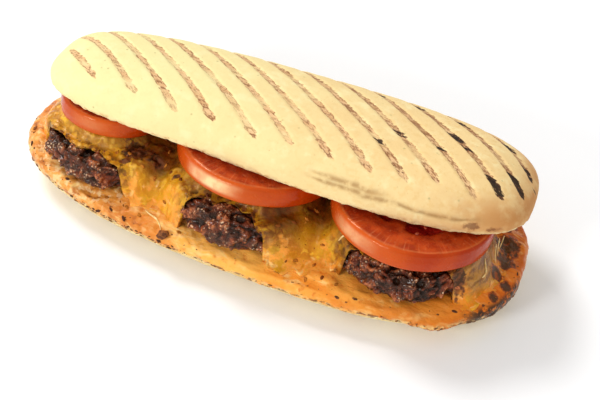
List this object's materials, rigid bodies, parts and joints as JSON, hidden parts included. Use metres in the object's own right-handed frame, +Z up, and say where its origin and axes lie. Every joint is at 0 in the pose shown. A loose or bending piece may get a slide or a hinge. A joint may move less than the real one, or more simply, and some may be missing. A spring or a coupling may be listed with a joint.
{
  "type": "panini",
  "caption": "Grilled panini: a long pale roll with slanting grill marks, opened a little at the front over beef patties, melted cheese, tomato slices and creamy orange sauce",
  "frame": {"origin": "the middle of the lower half's flat underside", "axes": "+X along the roll, +Z up, -Y towards the open front where the filling shows"},
  "size_m": [0.224, 0.0964, 0.0641],
  "materials": {
    "crust": "matt, floury baked crust",
    "sauce": "wet, creamy gloss",
    "beef": "rough, a little greasy",
    "cheese": "melted, satin to gloss",
    "tomato": "wet, glossy skin and cut face"
  },
  "bodies": {
    "root": {"bread_lower": "crust", "sauce": "sauce", "patty_left": "beef", "patty_middle": "beef", "patty_right": "beef", "cheese": "cheese", "tomato_left": "tomato", "tomato_middle": "tomato", "tomato_right": "tomato", "bread_upper": "crust"}
  },
  "joints": []
}
